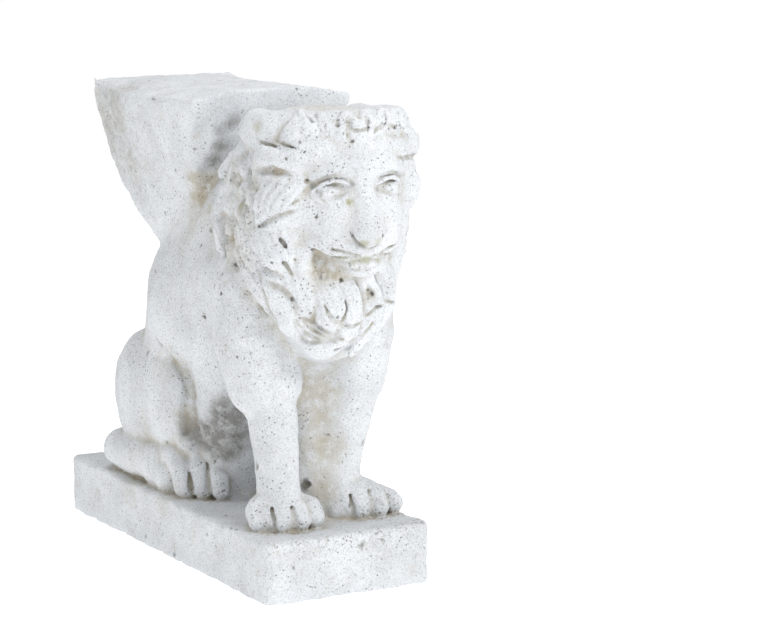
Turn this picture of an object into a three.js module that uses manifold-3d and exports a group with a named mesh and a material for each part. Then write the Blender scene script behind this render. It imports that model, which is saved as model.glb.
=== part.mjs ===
// Winged lion seated on a plinth, cast in one piece in pale stone.
// Millimetres, +Z up. The origin is the centre of the plinth's underside and the lion faces -Y.

import * as THREE from 'three';
import { mergeVertices } from 'three/addons/utils/BufferGeometryUtils.js';
import Module from 'manifold-3d';

const wasm = await Module();
wasm.setup();

// Driving sizes in millimetres
const PLINTH_LENGTH = 460;
const PLINTH_WIDTH = 170;
const PLINTH_HEIGHT = 58;
const PLINTH_CORNER = 9;
const PLINTH_EDGE = 4;
const FIGURE_HEIGHT = 397;
const SEAT_LENGTH = 150;
const SEAT_WIDTH = 84;

// The figure is laid out on its own grid, a fixed number of steps from the plinth to its crown
const STEPS_HIGH = 86.3;
const STEP = FIGURE_HEIGHT / STEPS_HIGH;

// The shortest edge kept where forms cross, in millimetres, and how far a face may tilt as one is closed
const SHORTEST_EDGE = 1.6;
const FLATTEST = 0.5;

// How many copies each carved pattern has
const TOES = 4;
const PRIMARIES = 7;
const COVERTS = 4;
const FRINGE_CURLS = 7;
const BEARD_ROWS = 3;
const BEARD_LOCKS = 5;

// The mane, in grid steps: where the face's middle is, how wide the hair may spread, how far a lock falls
const FACE_Z = 66;
const MANE_HALF_WIDTH = 18;
const FALL = 8;
const HOLLOW = 0.9;
const SEAT_BACK = 4;
const MANE_RINGS = [
  { across: 10.6, up: 10.5, depth: -49.6, back: 2.5, reach: 5.6, thick: 2.9, first: 0.2, last: 0.74, count: 6 },
  { across: 14, up: 14.5, depth: -44.6, back: 5, reach: 5, thick: 3.1, first: 0.16, last: 0.76, count: 6 },
  { across: 15.4, up: 15.5, depth: -36.5, back: 7, reach: 5.5, thick: 3.5, first: 0.22, last: 0.78, count: 5 },
  { across: 15.4, up: 13, depth: -28.5, back: 7.5, reach: 5.5, thick: 3.6, first: 0.4, last: 0.74, count: 3 },
];
const TOE = { sides: 6, spans: 2, capRings: 1 };

const stone = new THREE.MeshStandardMaterial({ color: 0xe6e7e6, roughness: 0.9, metalness: 0 });

// A closed geometry becomes a solid once its corners are shared
function solidOf(geometry) {
  geometry.deleteAttribute('normal');
  geometry.deleteAttribute('uv');
  const shared = mergeVertices(geometry, 1e-4);
  return new wasm.Manifold(new wasm.Mesh({
    numProp: 3,
    vertProperties: new Float32Array(shared.attributes.position.array),
    triVerts: new Uint32Array(shared.index.array),
  }));
}

// Rings of points become a closed skin with a point at each end
function skin(rings, first, last) {
  const sides = rings[0].length;
  const points = [first, ...rings.flat(), last];
  const faces = [];
  for (let side = 0; side < sides; side += 1) {
    const next = (side + 1) % sides;
    faces.push(0, 1 + next, 1 + side);
    for (let ring = 0; ring < rings.length - 1; ring += 1) {
      const low = 1 + ring * sides;
      const high = low + sides;
      faces.push(low + side, low + next, high + next, low + side, high + next, high + side);
    }
    const end = 1 + (rings.length - 1) * sides;
    faces.push(points.length - 1, end + side, end + next);
  }
  const geometry = new THREE.BufferGeometry();
  geometry.setAttribute('position', new THREE.Float32BufferAttribute(points.flatMap((p) => p.toArray()), 3));
  geometry.setIndex(faces);
  return geometry;
}

// A limb: round sections of radius r carried along a smooth curve through [x, y, z, r] points, with
// rounded ends. squash narrows or widens the whole limb along x, y and z about its own path.
function limb(stations, { squash = [1, 1, 1], sides = 10, spans = 5, capRings = 2 } = {}) {
  const scale = new THREE.Vector3(...squash);
  const centres = stations.map(([x, y, z]) => new THREE.Vector3(x, y, z).divide(scale));
  const path = new THREE.CatmullRomCurve3(centres);
  const girth = new THREE.CatmullRomCurve3(stations.map((s) => new THREE.Vector3(s[3], 0, 0)));
  const frames = path.computeFrenetFrames(spans, false);
  const ringAt = (centre, frame, radius) => Array.from({ length: sides }, (_, side) => {
    const angle = (2 * Math.PI * side) / sides;
    return centre.clone()
      .addScaledVector(frames.normals[frame], radius * Math.cos(angle))
      .addScaledVector(frames.binormals[frame], radius * Math.sin(angle))
      .multiply(scale);
  });
  const rings = [];
  const startRadius = stations[0][3];
  const endRadius = stations[stations.length - 1][3];
  for (let cap = 1; cap <= capRings; cap += 1) {
    const lift = (Math.PI / 2) * (1 - cap / (capRings + 1));
    const centre = path.getPointAt(0).addScaledVector(frames.tangents[0], -startRadius * Math.sin(lift));
    rings.push(ringAt(centre, 0, startRadius * Math.cos(lift)));
  }
  for (let span = 0; span <= spans; span += 1) {
    const at = path.getUtoTmapping(span / spans);
    rings.push(ringAt(path.getPoint(at), span, girth.getPoint(at).x));
  }
  for (let cap = capRings; cap >= 1; cap -= 1) {
    const lift = (Math.PI / 2) * (1 - cap / (capRings + 1));
    const centre = path.getPointAt(1).addScaledVector(frames.tangents[spans], endRadius * Math.sin(lift));
    rings.push(ringAt(centre, spans, endRadius * Math.cos(lift)));
  }
  const first = path.getPointAt(0).addScaledVector(frames.tangents[0], -startRadius).multiply(scale);
  const last = path.getPointAt(1).addScaledVector(frames.tangents[spans], endRadius).multiply(scale);
  return skin(rings, first, last);
}

// A rounded lump with its own radius along each axis
function lump([x, y, z], [rx, ry, rz], around = 14) {
  const geometry = new THREE.SphereGeometry(1, around, Math.round(around * 0.6));
  geometry.scale(rx, ry, rz);
  geometry.translate(x, y, z);
  return geometry;
}

const figure = [];
const carve = (geometry) => figure.push(geometry);

// The same form on both sides of the lion, x turned over for its left
function bothSides(make) {
  make(-1);
  make(1);
}

// Body: rump, barrel and chest, the belly running down between the hind legs
carve(limb([[0, 18, 14, 12.5], [0, 12, 27, 17.5], [0, 3.5, 40, 20], [0, -17, 46, 18], [0, -30, 43, 14]],
  { squash: [0.84, 1, 1], sides: 13, spans: 5 }));
carve(limb([[0, 9, 0, 10], [0, 3, 13, 10.5], [0, -7, 27, 12]], { squash: [0.85, 1, 1], sides: 9, spans: 3 }));

// Neck, which carries the mane and runs back under the wings
carve(limb([[0, -8, 56, 13], [0, -28, 62, 14.5], [0, -40, 68, 12]], { squash: [0.95, 1, 1], sides: 11, spans: 3 }));

// Hind legs: folded thigh, long hind foot and its toes
bothSides((side) => {
  carve(limb([[side * 11.6, 18, 17.8, 14.6], [side * 11.4, 5, 17, 12.8]],
    { squash: [0.46, 1, 1], sides: 13, spans: 2 }));
  carve(limb([[side * 13, 30.5, 3.4, 4], [side * 13.2, 17, 4.2, 4.4], [side * 11.5, 4, 4.2, 4.8]],
    { squash: [1.1, 1, 1], sides: 9, spans: 3 }));
  for (let toe = 0; toe < TOES; toe += 1) {
    const x = side * (6 + toe * 3.2);
    const reach = 1.8 * Math.sin((Math.PI * (toe + 0.6)) / TOES);
    carve(limb([[x, 4.5, 5.6, 2], [x, 1.4 - reach, 4.9, 2.1], [x, 0.4 - reach, 2.1, 2.2]], TOE));
  }
});

// A fore paw: the pad and its toes, each toe a knuckle over a ball
function paw(x, y, spread, turn) {
  carve(lump([x, y + 0.5, 3.2], [spread * 0.45, 6.6, 4.6], 10));
  for (let toe = 0; toe < TOES; toe += 1) {
    const place = (toe - (TOES - 1) / 2) / (TOES - 1);
    const forward = 2 * Math.cos(Math.PI * place);
    const tx = x + place * spread * 0.76;
    const ty = y - 3.2 - forward + turn * place;
    carve(limb([[x + place * spread * 0.6, y - 0.8 - forward * 0.5, 5, 2], [tx, ty + 1.2, 4.4, 2.1], [tx, ty, 2.1, 2.3]], TOE));
  }
}

// Near (right) foreleg, straight under the shoulder
carve(limb([[-10.4, -31, 47, 9.4], [-10.9, -32.4, 38, 9.6], [-10.7, -34.6, 30, 8.6], [-10.2, -36.4, 23, 6],
  [-9.6, -37.4, 15, 5], [-9.4, -37.6, 8, 4.7], [-9, -37.8, 3, 5.2]], { squash: [0.9, 1, 1], sides: 9, spans: 6 }));
carve(limb([[-11, -30, 38, 7], [-11, -30.2, 30.5, 6.4], [-10.8, -32.6, 25.5, 4]], { squash: [0.9, 1, 1], sides: 8, spans: 3 }));
paw(-8.6, -37.4, 15, 0);

// Far (left) foreleg, set back and inward, its paw turned out
carve(limb([[10.6, -31, 47, 9.4], [10.4, -31.6, 38, 9.6], [9.4, -32.8, 29.5, 8.2], [8.2, -33.6, 23, 6.2],
  [6.9, -33.3, 15, 5.2], [6.4, -33, 8, 4.8], [6.6, -33.6, 3, 5.4]], { squash: [0.95, 1, 1], sides: 9, spans: 6 }));
paw(10, -35, 15.6, 2);

// The stone web left between the forelegs
carve(limb([[-1.2, -29.5, 36, 6.5], [-1.4, -31.2, 20, 5.4], [-1.2, -32, 3, 5.6]], { squash: [1, 0.55, 1], sides: 8, spans: 3, capRings: 1 }));

// Head: skull, forehead, bridge, nose, chin, muzzle, brows, eyes and cheeks
carve(lump([0, -45.5, 70], [11, 11, 13], 14));
carve(lump([0, -50.6, 63], [9.4, 6.8, 8.2], 12));
carve(lump([0, -49.8, 75.4], [8.6, 5.8, 5.4], 12));
carve(limb([[0, -52.4, 73, 4], [0, -54.4, 68, 3.6], [0, -56.6, 62.4, 3.8]], { squash: [1.15, 1, 1], sides: 8, spans: 2 }));
carve(limb([[-2.8, -58.4, 60.2, 1.5], [0, -59.2, 59.8, 2], [2.8, -58.4, 60.2, 1.5]], { sides: 6, spans: 2, capRings: 1 }));
carve(limb([[-4.2, -51, 54.4, 2.4], [0, -53.4, 53.4, 2.8], [4.2, -51, 54.4, 2.4]], { sides: 7, spans: 2, capRings: 1 }));
carve(lump([0, -52.4, 56.4], [4.4, 2.4, 2.6], 8));
bothSides((side) => {
  carve(limb([[side * 2.1, -55.2, 58, 3.4], [side * 6.8, -51.2, 58.8, 3.4]], { sides: 8, spans: 1, capRings: 1 }));
  carve(limb([[side * 1.8, -55, 73.4, 1.6], [side * 5.6, -55.2, 73.9, 1.8], [side * 9.6, -51, 72, 1.8]],
    { sides: 6, spans: 2, capRings: 1 }));
  carve(lump([side * 6, -53.8, 70], [2.9, 1.9, 1.7], 8));
  carve(lump([side * 8, -50.2, 64], [3.8, 4.2, 5], 8));
});

// Mane: the mass of hair behind and around the face, flat on top of the head
carve(lump([0, -33, 64.5], [16.8, 14, 18], 12));
carve(lump([0, -43.6, 64.5], [15.4, 7.4, 17.5], 12));
carve(lump([0, -41.5, 47], [13, 8.4, 14], 12));
carve(lump([0, -39.5, 77.2], [14.6, 12, 6.6], 12));

// A lock of hair: a tapered strand from its root to its tip, bowed sideways on the way
function lock(root, tip, bow, thick, squash = [1, 1, 1]) {
  const middle = root.map((value, axis) => (value + tip[axis]) / 2 + bow[axis]);
  carve(limb([[...root, thick * 0.75], [...middle, thick], [...tip, thick * 0.45]],
    { squash, sides: 5, spans: 2, capRings: 0 }));
}

// Side locks in rings around the face: each leaves its root outward, then turns down and back
bothSides((side) => {
  MANE_RINGS.forEach(({ across, up, depth, back, reach, thick, first, last, count }) => {
    for (let index = 0; index < count; index += 1) {
      const angle = Math.PI * (first + ((last - first) * index) / (count - 1));
      const fall = angle + FALL / (up + reach);
      const wave = index % 2 ? 1 : 0.6;
      const root = [side * across * Math.sin(angle) ** 0.6, depth, FACE_Z + up * Math.cos(angle)];
      const tip = [side * Math.min((across + reach * 0.7) * Math.sin(fall) ** 0.6, MANE_HALF_WIDTH - thick * 0.5),
        depth + back * wave, FACE_Z + (up + reach) * Math.cos(fall)];
      lock(root, tip, [side * 0.7, -0.6, 2.2 * wave], thick);
    }
  });
});

// Fringe: short upright curls over the forehead
for (let curl = 0; curl < FRINGE_CURLS; curl += 1) {
  const place = (2 * curl) / (FRINGE_CURLS - 1) - 1;
  lock([place * 10.4, -51.6 + 3.6 * place * place, 78.2], [place * 12, -50.6 + 4.4 * place * place, 82.4],
    [place * 0.4, -1, 0.4], 2.2);
}

// Beard: rows of locks that flow from the jaw down over the chest
for (let row = 0; row < BEARD_ROWS; row += 1) {
  for (let index = 0; index < BEARD_LOCKS; index += 1) {
    const place = (2 * (index + (row % 2) * 0.5)) / (BEARD_LOCKS - 0.5) - 0.92;
    const wide = 12.2 - row * 1.4;
    const front = -48.6 + 4.5 * place * place;
    const top = 54 - row * 6.4;
    lock([place * wide, front + 1, top], [place * (wide - 2.4), front + 0.4, top - 9],
      [place * 1.4 + (row % 2 ? -0.9 : 0.9), -1.2, 0], 2.9);
  }
}

// Wings: one mass from the back up to the flat seat. Each level is a plan outline: its rear corner,
// the ridge where the feathers begin, and the front corner beside the mane.
const WING_LEVELS = [
  { rear: [9, 14, 50], ridge: [11.6, 4, 50], front: [11, -8, 50] },
  { rear: [11, 24.5, 57.4], ridge: [13, 6, 57], front: [11.4, -5, 57] },
  { rear: [12.4, 30, 63.6], ridge: [14.6, 9, 64], front: [12, -7.5, 64] },
  { rear: [13.8, 33.4, 70.4], ridge: [16.2, 12.5, 71], front: [14.2, -12.5, 71] },
  { rear: [15, 35.4, 77.4], ridge: [17.6, 15.5, 77.4], front: [16.6, -17, 78] },
  { rear: [15.8, 36.6, 83.6], ridge: [18.3, 18, 82.2], front: [18, -19.5, 83] },
];

// Runs round one level from the left rear to the right rear, the faces between the corners a little hollow
function wingOutline({ rear, ridge, front }) {
  const between = (a, b, share, hollow) => [a[0] + (b[0] - a[0]) * share - hollow, a[1] + (b[1] - a[1]) * share, a[2] + (b[2] - a[2]) * share];
  const half = [
    [rear[0] * 0.5, rear[1] + 1, rear[2]], rear, between(rear, ridge, 0.5, -0.3), ridge,
    between(ridge, front, 0.5, HOLLOW), front, [front[0] - 2.5, front[1] - 1.5, front[2]],
  ];
  const left = half.map(([x, y, z]) => new THREE.Vector3(x, y, z));
  const right = half.map(([x, y, z]) => new THREE.Vector3(-x, y, z)).reverse();
  return [...left, ...right].reverse();
}

// The top is crowned: it rises from the rim to the level seat along the middle
const rim = WING_LEVELS[WING_LEVELS.length - 1];
const seatMiddle = (rim.rear[1] + rim.front[1]) / 2 + SEAT_BACK;
const seatHalfWidth = SEAT_WIDTH / 2 / STEP;
const seatHalfLength = SEAT_LENGTH / 2 / STEP;
const lip = {
  rear: [rim.rear[0] - 0.8, rim.rear[1] - 0.6, 86.1],
  ridge: [rim.ridge[0] - 1, rim.ridge[1], 83.8],
  front: [rim.front[0] - 1, rim.front[1] + 0.6, 84.6],
};
const seat = {
  rear: [seatHalfWidth, seatMiddle + seatHalfLength, STEPS_HIGH],
  ridge: [seatHalfWidth, seatMiddle, STEPS_HIGH],
  front: [seatHalfWidth, seatMiddle - seatHalfLength, STEPS_HIGH],
};
carve(skin([...WING_LEVELS, lip, seat].map(wingOutline),
  new THREE.Vector3(0, -2, WING_LEVELS[0].rear[2]), new THREE.Vector3(0, seatMiddle, STEPS_HIGH)));

// Feathers on the outer face of each wing: long ones that fan to the rear edge, then short coverts
bothSides((side) => {
  for (let index = 0; index < PRIMARIES; index += 1) {
    const share = index / (PRIMARIES - 1);
    const x = 12.4 + 3.6 * share;
    lock([side * (x + 0.8), 9 + 9 * share, 56 + 22 * share],
      [side * (x - 0.2), 24.5 + 11.5 * share ** 0.6, 58.4 + 23.6 * share], [side * 0.7, 0, -1], 2.5, [0.5, 1, 1]);
  }
  for (let index = 0; index < COVERTS; index += 1) {
    const share = index / (COVERTS - 1);
    lock([side * (13.4 + 3.6 * share), 5 + 9 * share, 59 + 19 * share],
      [side * (13 + 3.6 * share), 13 + 10 * share, 59 + 21 * share], [side * 0.9, 0, -0.6], 2.6, [0.5, 1, 1]);
  }
});

// Plinth: a slab with worn edges and corners
function plinthSlab() {
  const halfWidth = PLINTH_WIDTH / 2 - PLINTH_EDGE;
  const halfLength = PLINTH_LENGTH / 2 - PLINTH_EDGE;
  const outline = new THREE.Shape();
  outline.moveTo(-halfWidth + PLINTH_CORNER, -halfLength);
  outline.lineTo(halfWidth - PLINTH_CORNER, -halfLength);
  outline.absarc(halfWidth - PLINTH_CORNER, -halfLength + PLINTH_CORNER, PLINTH_CORNER, -Math.PI / 2, 0);
  outline.lineTo(halfWidth, halfLength - PLINTH_CORNER);
  outline.absarc(halfWidth - PLINTH_CORNER, halfLength - PLINTH_CORNER, PLINTH_CORNER, 0, Math.PI / 2);
  outline.lineTo(-halfWidth + PLINTH_CORNER, halfLength);
  outline.absarc(-halfWidth + PLINTH_CORNER, halfLength - PLINTH_CORNER, PLINTH_CORNER, Math.PI / 2, Math.PI);
  outline.lineTo(-halfWidth, -halfLength + PLINTH_CORNER);
  outline.absarc(-halfWidth + PLINTH_CORNER, -halfLength + PLINTH_CORNER, PLINTH_CORNER, Math.PI, 1.5 * Math.PI);
  const slab = new THREE.ExtrudeGeometry(outline, {
    depth: PLINTH_HEIGHT - 2 * PLINTH_EDGE,
    bevelEnabled: true,
    bevelSize: PLINTH_EDGE,
    bevelThickness: PLINTH_EDGE,
    bevelSegments: 1,
    curveSegments: 3,
  });
  slab.translate(0, 0, PLINTH_EDGE);
  return slab;
}

// The figure's forms are brought to size, stood on the plinth and joined with it into one solid
let statue = solidOf(plinthSlab());
for (const form of figure) {
  form.scale(STEP, STEP, STEP);
  form.translate(0, 0, PLINTH_HEIGHT);
  statue = statue.add(solidOf(form));
}

// Joining leaves slivers where forms cross. An edge shorter than the given length is closed up, as long
// as the skin stays whole and no face next to it turns over.
function closeSlivers(points, faces, shortest) {
  const facesAt = points.map(() => new Set());
  faces.forEach((face, index) => face.forEach((corner) => facesAt[corner].add(index)));
  const around = (corner) => new Set([...facesAt[corner]].flatMap((index) => faces[index]));
  const normal = (a, b, c) => b.clone().sub(a).cross(c.clone().sub(a));
  const turnsOver = (index, from, to) => {
    const [a, b, c] = faces[index].map((corner) => points[corner]);
    const [d, e, f] = faces[index].map((corner) => points[corner === from ? to : corner]);
    const before = normal(a, b, c);
    const after = normal(d, e, f);
    return before.dot(after) < FLATTEST * before.length() * after.length() || after.length() < shortest ** 2 * 0.01;
  };
  const length = ([a, b]) => points[a].distanceTo(points[b]);
  const edges = faces.flatMap(([a, b, c]) => [[a, b], [b, c], [c, a]]).filter((edge) => length(edge) < shortest);
  edges.sort((one, other) => length(one) - length(other));
  for (const [keep, drop] of edges) {
    const shared = [...facesAt[keep]].filter((index) => facesAt[drop].has(index));
    const nearDrop = around(drop);
    const common = [...around(keep)].filter((corner) => nearDrop.has(corner));
    const moved = [...facesAt[drop]].filter((index) => !facesAt[keep].has(index));
    if (shared.length === 2 && common.length === 4 && !moved.some((index) => turnsOver(index, drop, keep))) {
      shared.forEach((index) => faces[index].forEach((corner) => facesAt[corner].delete(index)));
      moved.forEach((index) => {
        faces[index] = faces[index].map((corner) => (corner === drop ? keep : corner));
        facesAt[keep].add(index);
      });
      shared.forEach((index) => { faces[index] = null; });
      facesAt[drop].clear();
    }
  }
  return faces.filter((face) => face !== null);
}

const cast = statue.getMesh();
const corners = Array.from({ length: cast.vertProperties.length / 3 }, (_, index) =>
  new THREE.Vector3().fromArray(cast.vertProperties, index * 3));
const triangles = Array.from({ length: cast.triVerts.length / 3 }, (_, index) =>
  [...cast.triVerts.slice(index * 3, index * 3 + 3)]);
const joined = new THREE.BufferGeometry();
joined.setAttribute('position', new THREE.Float32BufferAttribute(corners.flatMap((corner) => corner.toArray()), 3));
joined.setIndex(closeSlivers(corners, triangles, SHORTEST_EDGE).flat());
const geometry = mergeVertices(joined.toNonIndexed(), 1e-4);
geometry.computeVertexNormals();

const statueMesh = new THREE.Mesh(geometry, stone);
statueMesh.name = 'winged_lion_statue';

const part = new THREE.Group();
part.name = 'winged_lion_garden_statue';
part.add(statueMesh);

export default part;
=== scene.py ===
import bpy
import numpy as np
from mathutils import Matrix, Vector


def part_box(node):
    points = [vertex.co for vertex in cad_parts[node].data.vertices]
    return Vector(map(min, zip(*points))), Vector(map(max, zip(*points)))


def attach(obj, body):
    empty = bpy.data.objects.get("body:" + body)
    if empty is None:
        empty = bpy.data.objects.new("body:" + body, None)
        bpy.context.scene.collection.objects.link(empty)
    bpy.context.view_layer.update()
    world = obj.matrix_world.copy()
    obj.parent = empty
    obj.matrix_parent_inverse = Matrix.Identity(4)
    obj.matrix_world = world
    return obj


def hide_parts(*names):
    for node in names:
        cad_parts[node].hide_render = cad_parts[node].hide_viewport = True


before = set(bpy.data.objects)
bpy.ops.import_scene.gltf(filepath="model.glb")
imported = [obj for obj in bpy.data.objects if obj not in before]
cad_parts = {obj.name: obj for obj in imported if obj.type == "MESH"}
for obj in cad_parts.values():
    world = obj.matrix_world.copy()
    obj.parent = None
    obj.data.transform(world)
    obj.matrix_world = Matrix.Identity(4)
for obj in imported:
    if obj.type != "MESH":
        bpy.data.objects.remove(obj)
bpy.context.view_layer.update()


# The block and its plinth.
# The real piece is one casting in pale cement stone. It is worked here as one block of stone too: a grid of
# distances to the surface, below zero inside, that every later form is joined to or cut from.
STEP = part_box("winged_lion_statue")[1].z / 98.9
CELL = 0.28
PLINTH_HALF = (18.48, 50.0, 6.3)
PLINTH_HEIGHT = 2 * PLINTH_HALF[2]
PLINTH_CORNER = 1.96
PLINTH_EDGE = 0.8
axes = [
    np.arange(low, high, CELL, dtype=np.float32)
    for low, high in ((-20.3, 20.3), (-62.6, 51.4), (-14.0, 87.8))
]
stone = np.full([len(a) for a in axes], 9.0, np.float32)


def window(low, high, pad):
    """The part of the grid between two corners, widened by pad: its slices, and its x, y and z."""
    parts = []
    for a, b, g in zip(low, high, axes):
        first = max(0, int((a - pad - g[0]) / CELL))
        parts.append(slice(first, max(first, int((b + pad - g[0]) / CELL) + 2)))
    x, y, z = (g[p] for g, p in zip(axes, parts))
    return tuple(parts), (x[:, None, None], y[None, :, None], z[None, None, :])


def softly(a, b, k):
    """The lower of two fields with a round inner corner: h = max(k - |a - b|, 0), min(a, b) - h^2 / 4k."""
    h = np.maximum(k - np.abs(a - b), 0)
    return np.minimum(a, b) - h * h / (4 * k)


def join(parts, field, k):
    """Adds a form to the block, with a fillet k wide."""
    stone[parts] = softly(stone[parts], field, k)


def cut(parts, field, k):
    """Takes a form out of the block, with an edge rounded over k."""
    stone[parts] = -softly(-stone[parts], field, k)


def slab(half, corner, edge):
    """Upright block: q = |p| - half + corner in plan, d = |max(q, 0)| + min(max(q), 0) - corner.
    The upper and lower edges are rounded the same way, from d and the height."""
    parts, (x, y, z) = window([-h for h in half[:2]] + [-2 * half[2]], [half[0], half[1], 0], 3)
    qx = np.abs(x) - half[0] + corner
    qy = np.abs(y) - half[1] + corner
    plan = np.hypot(np.maximum(qx, 0), np.maximum(qy, 0)) + np.minimum(np.maximum(qx, qy), 0) - corner
    side = plan + edge
    rise = np.abs(z + half[2]) - half[2] + edge
    field = np.hypot(np.maximum(side, 0), np.maximum(rise, 0)) + np.minimum(np.maximum(side, rise), 0) - edge
    join(parts, field, 0.1)


slab(PLINTH_HALF, PLINTH_CORNER, PLINTH_EDGE)


# The body and haunches.
# The seated trunk, the belly and the two thighs are full round masses that run into each other, cast in one
# with the plinth. Each is a chain of cones between stations of x, y, z and radius.


GROOVES = []
GROOVE_WIDEST = 0.75


def limb(stations, k=1.0, squash=1.0, tool=join):
    """Chain of round cones: d = |p - c(t)| - r(t) at the nearest t, in a space squashed by s, over |n / s|.
    A chain narrower than GROOVE_WIDEST that is cut out is also a groove, later coloured darker with earth and
    painted shade."""
    if tool is cut and max(st[3] for st in stations) < GROOVE_WIDEST:
        GROOVES.append(stations)
    s = np.array((squash, 1, 1) if np.isscalar(squash) else squash, np.float32)
    st = np.array(stations, np.float32)
    wide = st[:, 3:] * s
    parts, p = window((st[:, :3] - wide).min(0), (st[:, :3] + wide).max(0), k + 0.6)
    p = [c / m for c, m in zip(p, s)]
    st[:, :3] /= s
    best = None
    for a, b in zip(st[:-1], st[1:]):
        run = b - a
        t = sum((c - o) * r for c, o, r in zip(p, a, run)) / max(float((run[:3] ** 2).sum()), 1e-6)
        t = np.clip(t, 0, 1)
        v = [c - o - t * r for c, o, r in zip(p, a, run)]
        far = np.sqrt(v[0] ** 2 + v[1] ** 2 + v[2] ** 2) + 1e-6
        lean = np.sqrt((v[0] / s[0]) ** 2 + (v[1] / s[1]) ** 2 + (v[2] / s[2]) ** 2) / far
        d = (far - a[3] - t * run[3]) / lean
        best = d if best is None else np.minimum(best, d)
    tool(parts, best, k)


def lump(centre, radii, k=1.0, tool=join):
    """Ball with three radii: q = p / r, d = |q| (|q| - 1) / |q / r|."""
    c, r = np.array(centre, np.float32), np.array(radii, np.float32)
    parts, p = window(c - r, c + r, k + 0.6)
    q = [(a - b) / w for a, b, w in zip(p, c, r)]
    n = np.sqrt(q[0] ** 2 + q[1] ** 2 + q[2] ** 2)
    g = np.sqrt((q[0] / r[0]) ** 2 + (q[1] / r[1]) ** 2 + (q[2] / r[2]) ** 2) + 1e-6
    tool(parts, n * (n - 1) / g, k)


def sided(points, s):
    """The same stations on side s: -1 is the lion's right, as typed, and 1 its left."""
    return [(-s * p[0],) + tuple(p[1:]) for p in points]


limb([(0, 18, 14, 12.5), (0, 12, 27, 17.5), (0, 3.5, 40, 20), (0, -17, 46, 18), (0, -30, 43, 14)], 3, 0.84)
limb([(0, 9, 0, 10), (0, 3, 13, 10.5), (0, -7, 27, 12)], 3, 0.85)
limb([(0, -8, 56, 13), (0, -28, 62, 14.5), (0, -40, 68, 12)], 3, 0.95)
for s in (-1, 1):
    limb(sided([(-5, -9, 34, 10), (-4.6, -8.6, 22, 8), (-4, -5.4, 12, 7.2), (-3, -2, 2, 7.4)], s), 2.4)
    limb(sided([(-11.4, 18.4, 18.4, 14.4), (-12.4, 7, 19, 11)], s), 0.9, 0.46)
    limb(sided([(-12.6, 31.4, 4.4, 4.6), (-13, 19, 5.2, 5.2), (-12.6, 9, 5.8, 5)], s), 1.0, 1.1)
    limb(sided([(-13.4, 11, 3, 3.6), (-13.7, 4, 3, 3.8)], s), 1.2)
    for toe in (
        ((-12.8, 9.4, 7.2, 3.2), (-13.4, 2.4, 8, 2.9), (-13.7, -1.6, 5.4, 2.8), (-13.8, -3.2, 2, 2.6)),
        ((-10, 6.4, 7.4, 2.6), (-10.7, -2.2, 8.7, 2.2), (-11.2, -5.4, 5.6, 2.3), (-11.4, -6.6, 2, 2.2)),
        ((-7.4, 1.4, 7, 2.4), (-8.3, -6.2, 7.2, 1.9), (-9, -9.2, 4.4, 1.9), (-9.2, -10, 2, 1.9)),
    ):
        limb(sided(toe, s), 0.6)
    lump((s * 12, -2, 12), (2.8, 3.6, 3), 1.6)
    limb(sided([(-12.1, 1.4, 10.2, 0.1), (-13.6, -3.6, 6, 0.4), (-13.8, -5.4, 2, 0.7)], s), 0.5, 1, cut)
    limb(sided([(-9.6, -4, 9.8, 0.1), (-11, -7.8, 5.8, 0.4), (-11.4, -9, 2, 0.7)], s), 0.5, 1, cut)
    limb(sided([(-15.8, 7.2, 33, 0.4), (-15.4, 3, 30.9, 0.5), (-14.1, 1, 28.3, 0.6), (-13.3, -2, 25.2, 0.6),
                (-12.9, -3.5, 21.8, 0.7)], s), 0.5, 1, cut)
    limb(sided([(-16.4, 34, 0.8, 0.7), (-18, 22, 0.8, 1.1), (-18, 14, 0.8, 0.8)], s), 0.4, 1, cut)
    limb(sided([(-17.4, 25, 9.4, 0.4), (-17.8, 14, 10.2, 0.5), (-16.4, 2.6, 10.2, 0.6)], s), 0.8, 1, cut)
    limb(sided([(-14, -3.8, 22.4, 0.5), (-13.8, -4, 17.6, 1.4), (-13.6, -3.4, 14.4, 1.1)], s), 1.0, 1, cut)
    limb(sided([(-9.4, -18, 23.4, 0.5), (-9.8, -16, 19.6, 1.2), (-10.4, -13.6, 15.4, 1.5)], s), 0.8, 1, cut)


# The wings.
# Two short wings rise from the shoulders as one solid mass under the level top: coarse overlapping feathers
# on the outer face, a smooth hollow front face, and a deep pocket between that face and the mane.
WING_REAR = ((50, 57.4, 63.6, 70.4, 77.4, 83.6, 86.1), (9, 11, 12.4, 13.8, 15, 15.8, 15.7),
             (14, 24.5, 30, 33.4, 35.4, 36.6, 36.2))
WING_RIDGE = ((50, 57, 64, 71, 77.4, 82.2, 83.8), (11.6, 13, 14.6, 16.2, 17.6, 18.3, 18.3),
              (4, 6, 9, 12.5, 15.5, 18, 18))
WING_FRONT = ((50, 57, 64, 71, 78, 83, 84.6), (11, 11.4, 12, 14.2, 16.6, 18, 18),
              (-8, -5, -7.5, -12.5, -17, -19.5, -19.6))
SEAT = (9.13, 16.3, 12.55, 86.3)


def wing_block():
    """Six-sided plan that changes with height: the largest of the distances to its faces and to the top."""
    parts, (x, y, z) = window((-18.4, -21, 46), (18.4, 38, 86.4), 2.5)
    at = [[np.interp(z, h, v).astype(np.float32) for v in (xs, ys)] for h, xs, ys in
          (WING_REAR, WING_RIDGE, WING_FRONT)]
    wide = np.abs(x)
    field = -softly(at[0][1] - y, y - at[2][1], 1.5)
    for (xa, ya), (xb, yb) in ((at[0], at[1]), (at[1], at[2])):
        size = np.hypot(xb - xa, yb - ya)
        face = ((wide - xa) * (ya - yb) + (y - ya) * (xb - xa)) / size
        field = -softly(-field, -face, 1.0)
    over = np.interp(y, (-19.6, -12, 18, 36), (0.19, 0.2, 0.27, 0.03)) * np.maximum(wide - SEAT[0], 0)
    field = -softly(-field, -(z - SEAT[3] + over.astype(np.float32)), 0.7)
    field = np.maximum(field, 47 - z)
    join(parts, field, 2.4)


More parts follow.
